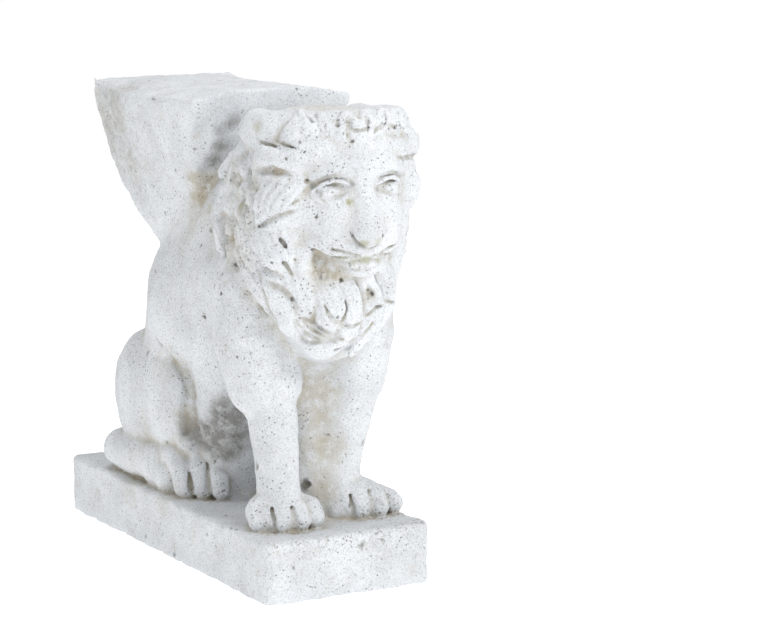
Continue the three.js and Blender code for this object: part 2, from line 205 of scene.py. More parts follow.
wing_block()


def lock(points, width, flat=0.6, strands=2, groove=0.35, out=None, k=0.5, tool=join):
    """Curved lock of hair or a feather: an oval section along a smooth path, w across, n out and l ahead,
    with d = (|w, n / flat, l| - R) / |gradient| and R = r(t) (1 - groove |sin(strands pi w / 2r)|)."""
    pts = np.array(points, float)
    ends = np.vstack([2 * pts[0] - pts[1], pts, 2 * pts[-1] - pts[-2]])
    path = []
    for i in range(1, len(ends) - 2):
        for t in (0, 0.5):
            a, b, c, d = ends[i - 1:i + 3]
            path.append(0.5 * (2 * b + (c - a) * t + (2 * a - 5 * b + 4 * c - d) * t**2
                               + (3 * b - a - 3 * c + d) * t**3))
    path = np.array(path + [pts[-1]], np.float32)
    share = np.linspace(0, 1, len(path))
    radius = width * (0.62 + 0.38 * np.sin(np.pi * (share * 0.9 + 0.12))) * (1 - 0.5 * share**3)
    radius = radius.astype(np.float32)
    middle = path.mean(0)
    normal = middle - np.array((0, -34, 60)) if out is None else np.array(out, float)
    parts, p = window(path.min(0) - width, path.max(0) + width, k + 0.4)
    best = None
    for a, b, ra, rb in zip(path[:-1], path[1:], radius[:-1], radius[1:]):
        run = b - a
        size = float(np.linalg.norm(run)) + 1e-6
        along = run / size
        side = np.cross(along, normal)
        side /= np.linalg.norm(side) + 1e-6
        up = np.cross(side, along)
        v = [c - o for c, o in zip(p, a)]
        ahead = v[0] * along[0] + v[1] * along[1] + v[2] * along[2]
        w = v[0] * side[0] + v[1] * side[1] + v[2] * side[2]
        n = (v[0] * up[0] + v[1] * up[1] + v[2] * up[2]) / flat
        t = np.clip(ahead / size, 0, 1)
        ahead = ahead - t * size
        r = ra + t * (rb - ra)
        far = np.sqrt(w * w + n * n + ahead * ahead) + 1e-6
        lean = np.sqrt(w * w + (n / flat) ** 2 + ahead * ahead) / far
        r = r * (1 - groove * np.abs(np.sin(strands * np.pi * w / (2 * r))))
        d = (far - r) / lean
        best = d if best is None else np.minimum(best, d)
    tool(parts, best.astype(np.float32), k)


VANES = 7
VANE_TOP = 84.5
VANE_DROP = 5
for s in (-1, 1):
    for i in range(VANES):
        z = VANE_TOP - VANE_DROP * i
        vane = []
        for share, drop in ((0.07, 0), (0.3, 2), (0.6, 5.5), (0.9, 10)):
            rear, ridge = [[np.interp(z - drop, level[0], level[n]) for n in (1, 2)]
                           for level in (WING_REAR, WING_RIDGE)]
            x, y = [a + (b - a) * share for a, b in zip(rear, ridge)]
            vane.append((0.35 - x, y - 0.5, z - drop))
        lock(sided(vane, s), 2.9, 0.2, 3, 0.12, (s, 0.35, -0.3), 0.4)
    lump((s * 15, -17, 66), (3, 6, 13), 2.5, cut)


# The mane.
# A thick ruff stands round the face and runs down into the beard. Its big leaf-like locks are modelled one by
# one over a plain mass, and behind them the surface is left in small rough clumps.
lump((0, -33, 64.5), (16.4, 13.6, 17.6), 2)
lump((0, -37, 58), (15.8, 10, 14), 2)
lump((0, -43.6, 64.5), (15.2, 7.2, 17.2), 2)
lump((0, -41.5, 47), (12.6, 8, 13.6), 2)
lump((-0.5, -43.4, 45), (9.6, 7.4, 10), 2)
lump((0, -39.5, 77.4), (14.6, 12, 6.8), 1.6)
for s in (-1, 1):
    limb(sided([(-8.6, -47, 79, 3.6), (-11.6, -46.8, 76, 3.9), (-12.6, -46.8, 70, 3.9),
                (-12.4, -46.4, 64, 3.8), (-11.4, -45.6, 58, 3.8), (-9.6, -45.4, 52, 4)], s), 1.6)
    limb(sided([(-11, -36, 79.6, 4.3), (-12, -45.6, 79, 4)], s), 1.4)
    limb(sided([(-6, -51, 76.6, 4.2), (-10.6, -49.6, 75.2, 4.2), (-12.8, -47.4, 73, 3.8)], s), 2)
    limb(sided([(-11.6, -49, 71, 3), (-11.6, -48, 64, 3.2), (-10.6, -47.6, 58, 3.2)], s), 2)
    limb(sided([(-13.6, -44, 81.2, 2.6), (-13.6, -40, 81.2, 2.6)], s), 0.8)
MANE_LOCKS = (
    ([(-16.2, -44.6, 73), (-16.2, -47.2, 76), (-15, -50.4, 75.8), (-13.4, -52, 74),
      (-11.6, -52.8, 72)], 2.2, 2),
    ([(-7.4, -51, 81), (-11, -50.4, 80), (-14, -47.4, 78), (-15.6, -43.6, 75)], 3.2, 4),
    ([(-8.6, -52.4, 76.6), (-12, -51.2, 76), (-14.8, -47.8, 74.6), (-16.2, -44.4, 72.6)], 3.2, 4),
    ([(-11, -51.8, 73), (-13.6, -50.6, 73.4), (-15.6, -47.8, 72), (-16.8, -44.6, 69)], 2.4, 2),
    ([(-12, -50.8, 71), (-14.2, -49.8, 69), (-15.4, -48.6, 66), (-15, -48.8, 63), (-13, -50, 61)], 4.2, 5),
    ([(-15, -46.6, 63), (-15.2, -47.6, 59.4), (-13.8, -48.8, 56.2), (-11.8, -49.4, 53)], 4.4, 5),
    ([(-16.8, -41, 60.6), (-16.6, -42.2, 56.4), (-15.2, -43.8, 52.6)], 3.2, 3),
    ([(-15.6, -40.4, 51.6), (-14.4, -43, 48.8), (-12.6, -45.8, 45.6), (-10.6, -47, 42),
      (-8.6, -47.4, 39)], 3.8, 4),
    ([(-11, -48.8, 54.4), (-10.2, -49.6, 50), (-9, -49.2, 46), (-8.6, -48.4, 42)], 3.6, 4),
    ([(-7, -50.2, 53), (-5.4, -51.4, 49), (-4.4, -51.2, 45), (-5, -50.4, 41), (-7, -48.4, 38)], 3.6, 5),
    ([(-3, -52, 52), (-1.2, -52.2, 48), (-0.2, -51.6, 44), (-1.2, -50.8, 40), (-3.6, -49.6, 37)], 3.4, 5),
    ([(1.2, -52.4, 51.6), (3.6, -51.6, 47.6), (4.8, -50.6, 43.6), (4, -49.6, 39.2),
      (1.4, -49.4, 36)], 3.5, 5),
    ([(6.4, -50.8, 52.4), (8.8, -49.2, 49.2), (9.8, -47.8, 45.6), (8.8, -47.2, 41.6),
      (6, -47.4, 38)], 3.3, 4),
    ([(-9.4, -47.4, 42), (-8, -49.2, 38.8), (-5, -50.6, 37.4), (-2, -51.4, 39), (-1.4, -52.4, 42)], 2.3, 3),
    ([(-8.6, -47.6, 38.8), (-6.6, -49, 36.8), (-4.2, -49.6, 36.4), (-2.2, -49.8, 37.8)], 2.0, 2),
)
lump((-4.6, -46.2, 41), (5.8, 4.6, 5), 1.5)
lump((-5.4, -48.4, 39.8), (4, 2.8, 3), 1)
lump((-9.2, -50, 55.2), (2.6, 2.2, 3.6), 1)
lump((2.4, -46.4, 41.6), (5.4, 4.4, 5.4), 1.5)
lump((-12.4, -45, 49.6), (3.6, 3.6, 5), 1.5)
lump((-10, -46, 44.6), (3.4, 3.4, 4.4), 1.5)
FAR_LOCKS = (
    ([(7, -51.6, 80), (9.4, -52.6, 81.6), (11.6, -51, 82.4), (13, -48, 81)], 2.6, 2),
    ([(11.6, -50.6, 78), (14, -50.6, 78), (15.6, -49.4, 76), (15.4, -48, 73.4)], 2.6, 2),
    ([(12.6, -50.4, 71.4), (14.6, -50.4, 70), (15.4, -49.6, 67), (14.6, -49, 64.6)], 2.7, 2),
    ([(12, -47.6, 62), (13.4, -46.8, 58.6), (12.6, -47, 55), (10.4, -47.6, 51.6)], 2.8, 2),
    ([(15.4, -40, 60), (15.6, -41.5, 55), (13.8, -43.8, 50), (11.4, -45.4, 45.6)], 2.9, 2),
)
lump((13.6, -48.6, 76.4), (3.2, 3.6, 3.8), 0.6)
lump((13.4, -49, 67.8), (3.2, 3.4, 4.6), 0.6)
for path, width, strands in MANE_LOCKS + FAR_LOCKS:
    lock(path, width, 0.54, strands, 0.15, None, 0.4)
CREASES = (
    [(-16.4, -44.4, 52.8, 0.2), (-15.6, -46.3, 51.3, 0.8), (-14.1, -48, 50.1, 0.9), (-12.2, -49.2, 48.6, 0.7),
     (-11.3, -49.6, 47.3, 0.6), (-10.9, -49.3, 45.1, 0.4), (-10.6, -49, 42, 0.1)],
    [(-16.4, -44, 53, 0.1), (-16, -45.1, 50.5, 0.4), (-15.6, -45.8, 48, 0.4), (-14.5, -45.1, 45.3, 0.5),
     (-12.6, -45.4, 42.6, 0.5), (-10.4, -46.2, 39.8, 0.1)],
    [(-7.6, -49.9, 43, 0.1), (-8.7, -49.7, 43.5, 0.3), (-10, -49.5, 43.8, 0.4), (-10.9, -49.2, 43.2, 0.5),
     (-10.8, -49, 42.1, 0.5), (-9.6, -49.2, 40, 0.5), (-8.6, -50.2, 39, 0.5), (-7.2, -51.2, 39.2, 0.3),
     (-6, -51.6, 39.4, 0.1)],
    [(-10.7, -49.3, 43.2, 0.1), (-9.2, -49.7, 41.2, 0.35), (-7.8, -50.7, 40.2, 0.3),
     (-6.4, -51.4, 39.6, 0.1)],
    [(-9.4, -49.5, 43.6, 0.1), (-7.6, -50.2, 41.5, 0.35), (-5.7, -51.4, 40.2, 0.35), (-3.4, -52.3, 39, 0.1)],
    [(-8, -50.2, 43.4, 0.1), (-5.4, -51.5, 41, 0.35), (-3.6, -51.9, 39.8, 0.3), (-2, -52.2, 39.4, 0.1)],
    [(-6, -52.2, 46.6, 0.1), (-5.4, -52.5, 44.8, 0.4), (-4, -52.5, 43.2, 0.5), (-2.1, -52.4, 42.2, 0.45),
     (0, -52.5, 41.8, 0.35), (2.4, -52.2, 42.4, 0.1)],
    [(-7, -50.8, 52.4, 0.1), (-6.4, -51.4, 50.4, 0.3), (-5, -52.2, 47.4, 0.4), (-4.4, -52, 44.4, 0.1)],
    [(-0.4, -53, 51.6, 0.1), (0.4, -53.2, 50, 0.3), (1.8, -53.2, 47, 0.4), (2.6, -52.8, 43.6, 0.1)],
    [(-3.2, -52.4, 51.4, 0.1), (-2.4, -52.8, 48.6, 0.3), (-1.6, -52.8, 45.6, 0.35), (-2.2, -52.4, 43, 0.1)],
    [(3.2, -52.4, 43.6, 0.1), (5.4, -52.3, 45.2, 0.45), (8.6, -50.2, 45.8, 0.5), (11, -48.4, 45.2, 0.2)],
    [(-5, -51.2, 37.4, 0.2), (-3.2, -51.4, 37.6, 0.5), (0.6, -50.2, 38.2, 0.6), (3, -51, 39.4, 0.5),
     (4.8, -51.8, 42, 0.1)],
    [(-17.4, -43.4, 72.2, 0.2), (-16.9, -46.6, 72.8, 0.8), (-15.8, -49.9, 73.2, 0.9), (-14, -52, 72.6, 0.7),
     (-12, -53, 71.6, 0.1)],
    [(-17.4, -45.4, 61.4, 0.1), (-16.6, -49.2, 63, 0.6), (-15.2, -50.6, 64.2, 0.7), (-12.9, -51.4, 64.9, 0.5),
     (-11, -51.6, 65.4, 0.1)],
    [(-17.2, -43.6, 69.6, 0.1), (-16.8, -46.4, 69, 0.4), (-16, -49.4, 68.8, 0.5), (-14, -51.6, 68.4, 0.4),
     (-11.8, -52.2, 68.8, 0.1)],
    [(-17.4, -43.4, 66.4, 0.1), (-16.8, -46.6, 66, 0.4), (-15.8, -49.8, 66.2, 0.5), (-13.6, -51.6, 66.6, 0.4),
     (-11.4, -52, 67.2, 0.1)],
    [(-17, -43, 61.6, 0.1), (-16.4, -46, 59.6, 0.4), (-15.2, -48.8, 57.4, 0.5), (-13.4, -50.2, 55, 0.4),
     (-11.6, -50, 52.4, 0.1)],
    [(-16.4, -45.8, 63.2, 0.1), (-15.4, -48.6, 61.4, 0.4), (-13.6, -50.6, 58.8, 0.5),
     (-11.4, -50.8, 55.6, 0.1)],
    [(-14.6, -49.8, 78.6, 0.1), (-12.6, -52, 77.4, 0.4), (-10.4, -53.4, 76.4, 0.4), (-8, -54.2, 76, 0.1)],
    [(-16.2, -45.4, 78.4, 0.1), (-14.8, -49, 77.4, 0.5), (-13, -51.6, 76, 0.5), (-11, -53.2, 74.6, 0.1)],
    [(6.8, -54.4, 74.8, 0.1), (10.8, -53.9, 74.2, 0.5), (14.8, -51.3, 74.2, 0.6), (16.8, -48, 73.2, 0.4)],
    [(5.4, -56.2, 63.9, 0.1), (9.8, -54.4, 63.8, 0.5), (13, -51, 63.6, 0.9), (15.6, -47.6, 63.2, 0.9)],
    [(3.4, -54.8, 79.4, 0.1), (4.8, -54.9, 80.4, 0.35), (6.5, -54.6, 81, 0.4), (8.4, -54.2, 80.6, 0.3),
     (10, -53.4, 79.6, 0.1)],
    [(-2.2, -55, 80.8, 0.1), (-0.4, -55.3, 80.2, 0.35), (1.6, -55.4, 80.3, 0.3), (3.2, -55, 80.8, 0.1)],
    [(3.6, -53.2, 48, 0.9), (2.9, -53.6, 49.6, 0.5)],
)
rough = np.random.default_rng(11)
for s in (-1, 1):
    for ring in range(4):
        for i in range(10):
            angle = np.pi * (0.14 + 0.078 * i + rough.uniform(-0.02, 0.02))
            depth = -44 + 5.2 * ring + rough.uniform(-0.9, 0.9)
            shrink = 1 - 0.012 * max(ring - 1, 0) ** 2
            x0, z0 = 15.2 * shrink * np.sin(angle) ** 0.5, 63.5 + 16 * shrink * np.cos(angle)
            if z0 > 80 or z0 < 40:
                continue
            long = rough.uniform(2.6, 4.6)
            bend = rough.uniform(-1.6, 1.6)
            lock([(s * x0, depth, z0), (s * (x0 + 1.3), depth + 1.2 + bend * 0.4, z0 - 0.5 * long),
                  (s * (x0 + 0.9), depth + 1.8 + bend, z0 - long)],
                 rough.uniform(1.9, 2.7), 0.62, 3, 0.16, None, 1.0)
limb([(-12.6, -46, 80.8, 3.2), (-9.6, -48.8, 80.8, 3.2), (-4, -50.6, 80.8, 3.2), (3, -50.8, 80.8, 3.2),
      (8.4, -49.8, 80.8, 3.2), (12.4, -47, 80.6, 3.4)], 1.2)
for i in range(9):
    p = -1 + i / 4
    lean = 1.4 * np.cos(2.2 * i)
    y = -52.8 + 3 * p * p
    lock([(11.4 * p - lean, y, 77.8), (11.4 * p - 0.6 * lean, y - 1.5, 79.8),
          (11.4 * p + 0.7 * lean, y - 1.3, 82), (11.4 * p + 1.6 * lean, y + 0.4, 84.6)], 2.0, 0.7, 2, 0.16,
          (0, -1, 0.2), 0.35)
for x, lean in ((-8.6, 0.9), (-3.9, 0.8), (-1.6, -0.9), (2.6, 0.7), (6.8, -0.8)):
    limb([(x - lean, -54.4 + 0.03 * x * x, 84.4, 0.4), (x, -55 + 0.03 * x * x, 82, 0.5),
          (x + 0.4 * lean, -55 + 0.03 * x * x, 79.4, 0.1)], 0.4, 1, cut)
for crease in CREASES:
    limb(crease, 0.3, 1, cut)
for s in (-1, 1):
    limb(sided([(-14.6, -27, 83, 2.2), (-14.6, -23, 77.4, 2.8), (-14.4, -17, 71.4, 2.8),
                (-14.2, -11, 65.8, 2.2), (-14.4, -7, 62, 1)], s), 1.6, 1, cut)
CROWN = 84.1
parts, (x, y, z) = window((-17, -58, 82), (17, -27, 87), 0)
cut(parts, CROWN - z + 0.1 * np.maximum(-x - 6, 0), 0.5)


# The head.
# The face is broad and calm, worn smooth by weather: a low round brow, long almond eyes in soft lids, a wide
# nose over two lip pads, and a thin drooping mouth line. It looks a little to the lion's left.
LOOK = 0.9


def face(points, s):
    """Stations on side s of the face, whose middle lies LOOK to the lion's left."""
    return [(LOOK - s * p[0],) + tuple(p[1:]) for p in points]


lump((LOOK, -45.5, 70), (11.6, 10.8, 13), 1.6)
lump((LOOK, -49.6, 63), (10, 6.8, 8.6), 2)
lump((LOOK, -49.8, 75.4), (9.8, 5.9, 5.8), 1.6)
limb([(LOOK, -53.6, 73.6, 2.6), (LOOK, -55, 69.5, 2.0), (LOOK, -56.4, 65.5, 2.4),
      (LOOK, -57.6, 61.8, 2.6)], 1.6, 1.12)
lump((LOOK, -57.9, 60.6), (3.6, 2.5, 2.7), 0.5)
parts, (x, y, z) = window((LOOK - 4.6, -62, 54), (LOOK + 4.6, -57, 62), 0)
cut(parts, np.maximum(z - 57.3 - 0.75 * np.abs(x - LOOK), y + 57.5), 0.25)
lump((LOOK, -53.4, 56.6), (6.4, 3.2, 3.4), 1.4)
lump((LOOK, -51, 55.6), (8.4, 3.6, 4.6), 1.4)
limb([(LOOK - 3.2, -54, 53.6, 1.5), (LOOK, -54.9, 53.7, 1.9), (LOOK + 3.2, -54, 53.6, 1.5)], 0.7)
for s in (-1, 1):
    lump((LOOK + s * 7.2, -50, 65), (4.6, 3.8, 6), 3)
    limb(face([(-2, -55.6, 57.8, 2.1), (-5.2, -53.8, 58.2, 2.4), (-8, -51, 59.4, 2.3)], s), 0.9)
    lump((LOOK + s * 4.6, -53.4, 62.4), (4, 3.8, 5.6), 2.4)
    limb(face([(-3.7, -57.4, 61.2, 0.3), (-3.2, -58, 60.2, 0.4), (-2.6, -57.8, 59.4, 0.45),
               (-1.5, -57.9, 58.5, 0.4), (0, -57.8, 57.2, 0.4)], s), 0.2, 1, cut)
    lump((LOOK + s * 6.2, -58, 68.9), (4.2, 2.7, 2.1), 0.8, cut)
    limb(face([(-3.2, -55.2, 72.2, 1.1), (-6.2, -54.9, 72.6, 1.3), (-9.2, -52.6, 71.6, 1.3)], s), 0.8)
    lump((LOOK + s * 6.3, -54, 68.7), (2.6, 1.9, 1.5), 0.12)
    limb(face([(-3, -56.2, 69.8, 0.3), (-4.7, -56.3, 70.7, 0.45), (-6.6, -55.9, 70.9, 0.5),
               (-8.4, -54.7, 70.2, 0.45), (-9.7, -53.2, 69, 0.3)], s), 0.3)
    limb(face([(-3, -56, 68.2, 0.3), (-4.9, -56, 67.1, 0.45), (-6.7, -55.6, 66.8, 0.5),
               (-8.6, -54.4, 67.3, 0.45), (-9.7, -53.2, 68.4, 0.3)], s), 0.6)
    limb(face([(-2.2, -55, 73.4, 1.3), (-5.6, -54.8, 74, 1.6), (-9.6, -51.6, 72.8, 1.5)], s), 1.4)
    limb(face([(-2.5, -57.2, 67.6, 0.35), (-2.5, -57.1, 69, 0.5), (-2.7, -57, 70.6, 0.55),
               (-4.6, -56.6, 71.7, 0.35), (-6.2, -56.3, 72, 0.3), (-8, -55, 71.4, 0.3),
               (-9.6, -53.6, 70.3, 0.4), (-10.8, -52.8, 70.8, 0.4)], s), 0.2, 1, cut)
    limb(face([(-9, -54.6, 69, 0.3), (-8.8, -54.9, 68, 0.3), (-8.2, -55.4, 66.8, 0.1)], s), 0.2, 1, cut)
    limb(face([(-9.6, -51.1, 58.3, 0.5), (-8.3, -52.2, 57.3, 0.5), (-7.1, -52.9, 56.4, 0.5),
               (-5.6, -54.2, 55.2, 0.55), (-4.1, -55.5, 54.8, 0.55), (-2.6, -56.1, 54.9, 0.5),
               (-1.2, -56.5, 55.3, 0.5), (0.4, -56.7, 55.3, 0.5)], s), 0.2, 1, cut)
    limb(face([(-6.8, -55.6, 57.9, 0.25), (-4.5, -56.6, 57.1, 0.3),
               (-1.4, -56.9, 56.1, 0.25)], s), 0.2, 1, cut)
    limb(face([(-6.4, -54.5, 56.4, 0.25), (-4.4, -56, 55.9, 0.3), (-2.3, -56.9, 56.1, 0.25)], s), 0.2, 1, cut)
    limb(face([(-4.9, -54.1, 54, 0.4), (-2.6, -55.9, 53.3, 0.45), (0.4, -56.7, 53.4, 0.4)], s), 0.4, 1, cut)
    limb(face([(-8.2, -52.2, 55.6, 0.9), (-6.4, -54, 53.6, 1.1), (-3.4, -55.6, 51.8, 0.9)], s), 1.6, 1, cut)
    limb(face([(-8, -51.6, 56, 0.3), (-7.9, -51.8, 54, 0.3), (-7.6, -52, 51.9, 0.3)], s), 0.3, 1, cut)
    limb(face([(-7, -52.5, 55.9, 0.3), (-6.7, -52.7, 53.7, 0.3), (-6.6, -52.8, 51.8, 0.3)], s), 0.3, 1, cut)


# The forelegs and forepaws.
# The near foreleg stands straight and a little in front of the far one. A web of stone joins them behind, and
# each paw spreads in four blunt toes.


def paw(x, y, spread, turn, fall):
    """Forepaw: a low pad, and four toes at x + .8 k spread and y - 3.2 - 2 cos(pi k) + turn k, for k from
    -.5 to .5. The toes on the lion's left are lower by fall k."""
    lump((x - 0.4 * fall, y + 0.5, 3), (0.46 * spread, 6.6, 4.6), 1)
    for toe, tip in enumerate((2.1, 2.4, 2.2, 2.1)):
        k = (toe - 1.5) / 3
        forward = 2 * np.cos(np.pi * k)
        low = fall * max(k, 0)
        tx, ty = x + 0.8 * k * spread, y - 3.2 - forward + turn * k
        limb([(x + 0.6 * k * spread, y - 0.8 - 0.5 * forward, 5.2 - low, 1.9),
              (tx, ty + 1.5, 4.6 - low, tip - 0.3), (tx, ty + 0.2, 2, tip)], 0.5)
    for k in (-1 / 3, 0, 1 / 3):
        front = y - 5.4 - 1.5 * np.cos(np.pi * k) + turn * k
        limb([(x + 0.66 * k * spread, y - 2.6, 6.4, 0.1), (x + 0.78 * k * spread, front + 1.3, 4.6, 0.45),
              (x + 0.8 * k * spread, front + 0.2, 2.4, 0.55),
              (x + 0.8 * k * spread, front, 0.4, 0.6)], 0.5, 1, cut)


limb([(-10.4, -31, 47, 9.4), (-10.9, -32.4, 38, 9.6), (-10.7, -34.6, 30, 8.4), (-9.9, -36.4, 23, 5.5),
      (-9.6, -37.4, 15, 5), (-9.4, -37.6, 8, 4.7), (-9, -37.8, 3, 5.2)], 1.6, 0.9)
limb([(-11, -30, 38, 7), (-11, -30.2, 30.5, 6.4), (-10.8, -32.6, 25.5, 4)], 1.6, 0.9)
limb([(10.6, -31, 47, 9.4), (10.4, -31.6, 38, 9.6), (9.4, -32.8, 29.5, 8.2), (8.2, -33.6, 23, 6.2),
      (6.9, -33.3, 15, 5.2), (6.4, -33, 8, 4.8), (6.6, -33.6, 3, 5.4)], 1.6, 0.95)
limb([(0, -30.5, 36, 6.5), (1.6, -32.4, 20, 4.6), (1.8, -32.8, 3, 4.8)], 3.5, (1.15, 0.8, 1))
paw(-9, -37.4, 13.8, -3, 1)
paw(10, -35, 15.6, -1.5, 3.2)


# The stone's surface.
# The block becomes one closed skin, is weathered a little, and is thinned most away from the head and mane.
# The smallest pores are in the finish. The larger ones are real holes, as cement leaves when its air bubbles
# open. Most of them are scattered, and the ones that the photograph shows are set by pixel.
CORNERS = [(i, j, k) for i in (0, 1) for j in (0, 1) for k in (0, 1)]
EDGES = [(a, b) for a in range(8) for b in range(a + 1, 8)
         if sum(p != q for p, q in zip(CORNERS[a], CORNERS[b])) == 1]


def skin_cells():
    """Cells that the surface passes through: some of their eight corners are inside, and some aren't."""
    inside = stone < 0
    nx, ny, nz = (n - 1 for n in stone.shape)
    count = np.zeros((nx, ny, nz), np.uint8)
    for i, j, k in CORNERS:
        count += inside[i:i + nx, j:j + ny, k:k + nz]
    return inside, (count > 0) & (count < 8)


def skin():
    """Surface nets: one point per cell, the mean of its edges' crossings at a / (a - b), and one quad for
    each crossing."""
    inside, mixed = skin_cells()
    cells = np.argwhere(mixed)
    number = np.full(mixed.shape, -1, np.int32)
    number[mixed] = np.arange(len(cells))
    values = np.stack([stone[tuple((cells + c).T)] for c in CORNERS], 1)
    total, hits = np.zeros((len(cells), 3), np.float32), np.zeros(len(cells), np.float32)
    for a, b in EDGES:
        va, vb = values[:, a], values[:, b]
        crossed = (va < 0) != (vb < 0)
        share = np.where(crossed, va / np.where(crossed, va - vb, 1), 0)[:, None]
        ca, cb = np.array(CORNERS[a], np.float32), np.array(CORNERS[b], np.float32)
        total += np.where(crossed[:, None], ca + share * (cb - ca), 0)
        hits += crossed
    points = (cells + total / hits[:, None]) * CELL + np.array([g[0] for g in axes])
    quads = []
    for axis in range(3):
        step = [0, 0, 0]
        step[axis] = 1
        near = inside[tuple(slice(0, n - d) for n, d in zip(inside.shape, step))]
        far = inside[tuple(slice(d, n) for n, d in zip(inside.shape, step))]
        at = np.argwhere(near != far)
        out = near[tuple(at.T)]
        u, v = [e for e in range(3) if e != axis]
        if axis == 1:
            u, v = v, u
        ring = []
        for du, dv in ((-1, -1), (0, -1), (0, 0), (-1, 0)):
            c = at.copy()
            c[:, u] += du
            c[:, v] += dv
            ring.append(number[tuple(c.T)])
        ring = np.stack(ring, 1)
        quads.append(np.where(out[:, None], ring, ring[:, ::-1]))
    return points, np.concatenate(quads)


def one_piece(points, quads):
    """The largest connected skin: points take the lowest number among their quads' until none changes."""
    label = np.arange(len(points))
    while True:
        low = label[quads].min(1)
        new = label.copy()
        for corner in range(4):
            np.minimum.at(new, quads[:, corner], low)
        new = new[new]
        if (new == label).all():
            break
        label = new
    keep = label == np.bincount(label).argmax()
    number = np.cumsum(keep) - 1
    return points[keep], number[quads[keep[quads[:, 0]]]]


def noise(points, size, seed):
    """Smooth random field: a lattice of random values size apart, read between its corners with the weights
    3t^2 - 2t^3."""
    cells = (points - points.min(0)) / size
    base = np.floor(cells).astype(int)
    t = cells - base
    t = t * t * (3 - 2 * t)
    lattice = np.random.default_rng(seed).uniform(-1, 1, base.max(0) + 2)
    total = 0
    for c in CORNERS:
        total = total + np.prod(np.where(np.array(c) == 1, t, 1 - t), axis=1) * lattice[tuple((base + c).T)]
    return total


def normals_of(points, quads):
    """Point normals: the sum of the cross products of the diagonals of the quads round each point."""
    face = np.cross(points[quads[:, 2]] - points[quads[:, 0]], points[quads[:, 3]] - points[quads[:, 1]])
    total = np.zeros_like(points)
    for corner in range(4):
        for c in range(3):
            total[:, c] += np.bincount(quads[:, corner], face[:, c], len(points))
    return total / (np.linalg.norm(total, axis=1)[:, None] + 1e-9)


def smoothed(points, quads, share):
    """Each point moved a share of the way to the mean of its neighbours along the quads' edges."""
    a, b = np.concatenate([quads, quads], 1)[:, [0, 1, 2, 3, 1, 2, 3, 0]].reshape(-1, 2, 4).transpose(1, 0, 2)
    a, b = a.ravel(), b.ravel()
    count = np.bincount(a, minlength=len(points)) + np.bincount(b, minlength=len(points))
    total = np.stack([np.bincount(a, points[b, c], len(points)) + np.bincount(b, points[a, c], len(points))
                      for c in range(3)], 1)
    return points + share * (total / count[:, None] - points)


PHOTO_SIZE = (768, 624)
LENS = 121.9
SENSOR_WIDTH = 36
CAMERA_AXES = ((0.87439, 0.08420, -0.47787), (-0.48509, 0.12829, -0.86500), (-0.01153, 0.98816, 0.15302))
CAMERA_PLACE = (-1.0876, -2.2684, 0.6193)
SIGHT = np.arange(420, 660, 0.05)


def seen(px, py):
    """The first point of the block on a pixel's line of sight: points every 0.05 along the line from the
    camera, each read from its nearest cell, and the first of them that is inside."""
    turn = SENSOR_WIDTH / LENS / PHOTO_SIZE[0]
    line = np.array(CAMERA_AXES) @ ((px - PHOTO_SIZE[0] / 2) * turn, (PHOTO_SIZE[1] / 2 - py) * turn, -1)
    start = np.array(CAMERA_PLACE) / STEP - (0, 0, PLINTH_HEIGHT)
    path = start + SIGHT[:, None] * line / np.linalg.norm(line)
    cells = np.rint((path - [g[0] for g in axes]) / CELL).astype(int)
    held = ((cells >= 0) & (cells < stone.shape)).all(1)
    inside = held.copy()
    inside[held] = stone[tuple(cells[held].T)] < 0
    return path[np.argmax(inside)]


PITS = 420
luck = np.random.default_rng(5)
_, touched = skin_cells()
spots = np.argwhere(touched)
spots = spots[luck.choice(len(spots), PITS, replace=False)] * CELL + np.array([g[0] for g in axes])
spots = spots[spots[:, 2] > 0.6 - PLINTH_HEIGHT]
pit_size = 0.15 + 0.16 * luck.random(len(spots)) ** 3
HOLE_PIXELS = (
    (306.6, 484.4, 0.75), (235.9, 265, 0.34), (271.7, 263.3, 0.3), (291.9, 298.9, 0.34), (310.8, 314.1, 0.32),
    (337.8, 317.5, 0.3), (340.9, 280.2, 0.36), (367.6, 290.3, 0.3), (371.9, 293.9, 0.3), (352.6, 141.4, 0.28),
    (286.2, 158.8, 0.28), (307.4, 180.3, 0.28), (316.3, 217.2, 0.28), (200.7, 244.7, 0.28),
    (205, 316.7, 0.34), (220.8, 293.4, 0.34),
)
spots = np.vstack([spots, [seen(px, py) for px, py, r in HOLE_PIXELS]])
pit_size = np.append(pit_size, [r for px, py, r in HOLE_PIXELS])
for spot, r in zip(spots, pit_size):
    lump(spot, (r, r, r), 0.15, cut)
CHIPS = 90
WIDE, DEEP = PLINTH_HALF[:2]
CORNER_WAYS = (0, 2 * WIDE, 2 * (WIDE + DEEP), 2 * (2 * WIDE + DEEP))
for i in range(CHIPS):
    way = luck.uniform(0, 4 * (WIDE + DEEP))
    side = sum(int(way > corner) for corner in CORNER_WAYS[1:])
    along = way - CORNER_WAYS[side]
    x, y = ((along - WIDE, -DEEP), (WIDE, along - DEEP), (along - WIDE, DEEP), (-WIDE, along - DEEP))[side]
    r = luck.uniform(0.3, 0.9)
    lump((x, y, luck.choice((0, 0, 0.1, 0.2 - PLINTH_HEIGHT))), (r * 1.3, r * 1.3, r * 0.8), 0.4, cut)

